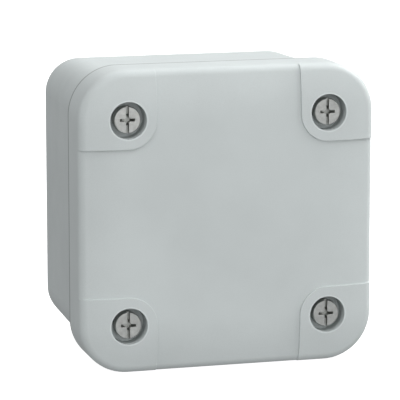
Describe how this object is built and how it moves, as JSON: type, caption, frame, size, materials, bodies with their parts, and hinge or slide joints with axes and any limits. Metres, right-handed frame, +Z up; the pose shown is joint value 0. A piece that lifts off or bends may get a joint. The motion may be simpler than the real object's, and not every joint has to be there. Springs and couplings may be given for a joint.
{
  "type": "junction box",
  "caption": "Square plastic electrical junction box with a crowned screw-down cover, raised corners, foam seal and a screw terminal block inside.",
  "frame": {"origin": "centre of the flat back face that lies on the wall", "axes": "+Z up, +X to the right seen from the front, +Y into the wall; the cover faces -Y"},
  "size_m": [0.074, 0.054, 0.074],
  "materials": {
    "shell": "fine moulded texture, light grey",
    "foam": "closed-cell foam",
    "steel": "turned face, satin nickel",
    "retainer": "natural nylon",
    "rubber": "smooth moulded rubber",
    "brass": "machined",
    "plug": "soft polyethylene",
    "nylon": "natural polyamide",
    "plated_steel": "zinc plated"
  },
  "bodies": {
    "base": {"base_box": "shell", "terminal_housing": "nylon", "screw_insert_1": "brass", "screw_insert_2": "brass", "screw_insert_3": "brass", "screw_insert_4": "brass", "wall_plug_1": "plug", "wall_plug_2": "plug", "wall_plug_3": "plug", "wall_plug_4": "plug", "current_bar_1": "brass", "current_bar_2": "brass", "current_bar_3": "brass", "block_screw_1": "plated_steel", "block_screw_2": "plated_steel"},
    "cover": {"cover": "shell", "cover_seal": "foam"},
    "cover_screw_1_retainer": {"screw_retainer_1": "retainer", "screw_oring_1": "rubber"},
    "cover_screw_1": {"cover_screw_1": "steel"},
    "cover_screw_2_retainer": {"screw_retainer_2": "retainer", "screw_oring_2": "rubber"},
    "cover_screw_2": {"cover_screw_2": "steel"},
    "cover_screw_3_retainer": {"screw_retainer_3": "retainer", "screw_oring_3": "rubber"},
    "cover_screw_3": {"cover_screw_3": "steel"},
    "cover_screw_4_retainer": {"screw_retainer_4": "retainer", "screw_oring_4": "rubber"},
    "cover_screw_4": {"cover_screw_4": "steel"},
    "clamp_screw_1": {"clamp_screw_1": "plated_steel"},
    "clamp_cage_1": {"clamp_cage_1": "plated_steel"},
    "clamp_screw_2": {"clamp_screw_2": "plated_steel"},
    "clamp_cage_2": {"clamp_cage_2": "plated_steel"},
    "clamp_screw_3": {"clamp_screw_3": "plated_steel"},
    "clamp_cage_3": {"clamp_cage_3": "plated_steel"},
    "clamp_screw_4": {"clamp_screw_4": "plated_steel"},
    "clamp_cage_4": {"clamp_cage_4": "plated_steel"},
    "clamp_screw_5": {"clamp_screw_5": "plated_steel"},
    "clamp_cage_5": {"clamp_cage_5": "plated_steel"},
    "clamp_screw_6": {"clamp_screw_6": "plated_steel"},
    "clamp_cage_6": {"clamp_cage_6": "plated_steel"}
  },
  "joints": [
    {"name": "cover_lift", "type": "slide", "parent": "base", "child": "cover", "axis": [0, -1, 0], "range_m": [0, 0.06]},
    {"name": "cover_screw_1_rise", "type": "slide", "parent": "cover", "child": "cover_screw_1_retainer", "axis": [0, -1, 0], "range_m": [0, 0.0049]},
    {"name": "cover_screw_1_turn", "type": "hinge", "parent": "cover_screw_1_retainer", "child": "cover_screw_1", "pos_m": [-0.0251, -0.05, 0.0251], "axis": [0, -1, 0], "range_deg": [0, 2520]},
    {"name": "cover_screw_2_rise", "type": "slide", "parent": "cover", "child": "cover_screw_2_retainer", "axis": [0, -1, 0], "range_m": [0, 0.0049]},
    {"name": "cover_screw_2_turn", "type": "hinge", "parent": "cover_screw_2_retainer", "child": "cover_screw_2", "pos_m": [0.0251, -0.05, 0.0251], "axis": [0, -1, 0], "range_deg": [0, 2520]},
    {"name": "cover_screw_3_rise", "type": "slide", "parent": "cover", "child": "cover_screw_3_retainer", "axis": [0, -1, 0], "range_m": [0, 0.0049]},
    {"name": "cover_screw_3_turn", "type": "hinge", "parent": "cover_screw_3_retainer", "child": "cover_screw_3", "pos_m": [-0.0251, -0.05, -0.0251], "axis": [0, -1, 0], "range_deg": [0, 2520]},
    {"name": "cover_screw_4_rise", "type": "slide", "parent": "cover", "child": "cover_screw_4_retainer", "axis": [0, -1, 0], "range_m": [0, 0.0049]},
    {"name": "cover_screw_4_turn", "type": "hinge", "parent": "cover_screw_4_retainer", "child": "cover_screw_4", "pos_m": [0.0251, -0.05, -0.0251], "axis": [0, -1, 0], "range_deg": [0, 2520]},
    {"name": "clamp_screw_1_turn", "type": "hinge", "parent": "base", "child": "clamp_screw_1", "pos_m": [-0.008, -0.02, 0.0057], "axis": [0, 1, 0], "range_deg": [0, 2160]},
    {"name": "clamp_cage_1_rise", "type": "slide", "parent": "base", "child": "clamp_cage_1", "axis": [0, -1, 0], "range_m": [0, 0.003]},
    {"name": "clamp_screw_2_turn", "type": "hinge", "parent": "base", "child": "clamp_screw_2", "pos_m": [0, -0.02, 0.0057], "axis": [0, 1, 0], "range_deg": [0, 2160]},
    {"name": "clamp_cage_2_rise", "type": "slide", "parent": "base", "child": "clamp_cage_2", "axis": [0, -1, 0], "range_m": [0, 0.003]},
    {"name": "clamp_screw_3_turn", "type": "hinge", "parent": "base", "child": "clamp_screw_3", "pos_m": [0.008, -0.02, 0.0057], "axis": [0, 1, 0], "range_deg": [0, 2160]},
    {"name": "clamp_cage_3_rise", "type": "slide", "parent": "base", "child": "clamp_cage_3", "axis": [0, -1, 0], "range_m": [0, 0.003]},
    {"name": "clamp_screw_4_turn", "type": "hinge", "parent": "base", "child": "clamp_screw_4", "pos_m": [-0.008, -0.02, -0.0057], "axis": [0, 1, 0], "range_deg": [0, 2160]},
    {"name": "clamp_cage_4_rise", "type": "slide", "parent": "base", "child": "clamp_cage_4", "axis": [0, -1, 0], "range_m": [0, 0.003]},
    {"name": "clamp_screw_5_turn", "type": "hinge", "parent": "base", "child": "clamp_screw_5", "pos_m": [0, -0.02, -0.0057], "axis": [0, 1, 0], "range_deg": [0, 2160]},
    {"name": "clamp_cage_5_rise", "type": "slide", "parent": "base", "child": "clamp_cage_5", "axis": [0, -1, 0], "range_m": [0, 0.003]},
    {"name": "clamp_screw_6_turn", "type": "hinge", "parent": "base", "child": "clamp_screw_6", "pos_m": [0.008, -0.02, -0.0057], "axis": [0, 1, 0], "range_deg": [0, 2160]},
    {"name": "clamp_cage_6_rise", "type": "slide", "parent": "base", "child": "clamp_cage_6", "axis": [0, -1, 0], "range_m": [0, 0.003]}
  ],
  "couplings": [
    {"joint": "cover_screw_1_turn", "follows": "cover_screw_1_rise", "rad_per_m": 8976},
    {"joint": "cover_screw_2_turn", "follows": "cover_screw_2_rise", "rad_per_m": 8976},
    {"joint": "cover_screw_3_turn", "follows": "cover_screw_3_rise", "rad_per_m": 8976},
    {"joint": "cover_screw_4_turn", "follows": "cover_screw_4_rise", "rad_per_m": 8976},
    {"joint": "clamp_screw_1_turn", "follows": "clamp_cage_1_rise", "rad_per_m": 12566},
    {"joint": "clamp_screw_2_turn", "follows": "clamp_cage_2_rise", "rad_per_m": 12566},
    {"joint": "clamp_screw_3_turn", "follows": "clamp_cage_3_rise", "rad_per_m": 12566},
    {"joint": "clamp_screw_4_turn", "follows": "clamp_cage_4_rise", "rad_per_m": 12566},
    {"joint": "clamp_screw_5_turn", "follows": "clamp_cage_5_rise", "rad_per_m": 12566},
    {"joint": "clamp_screw_6_turn", "follows": "clamp_cage_6_rise", "rad_per_m": 12566}
  ]
}
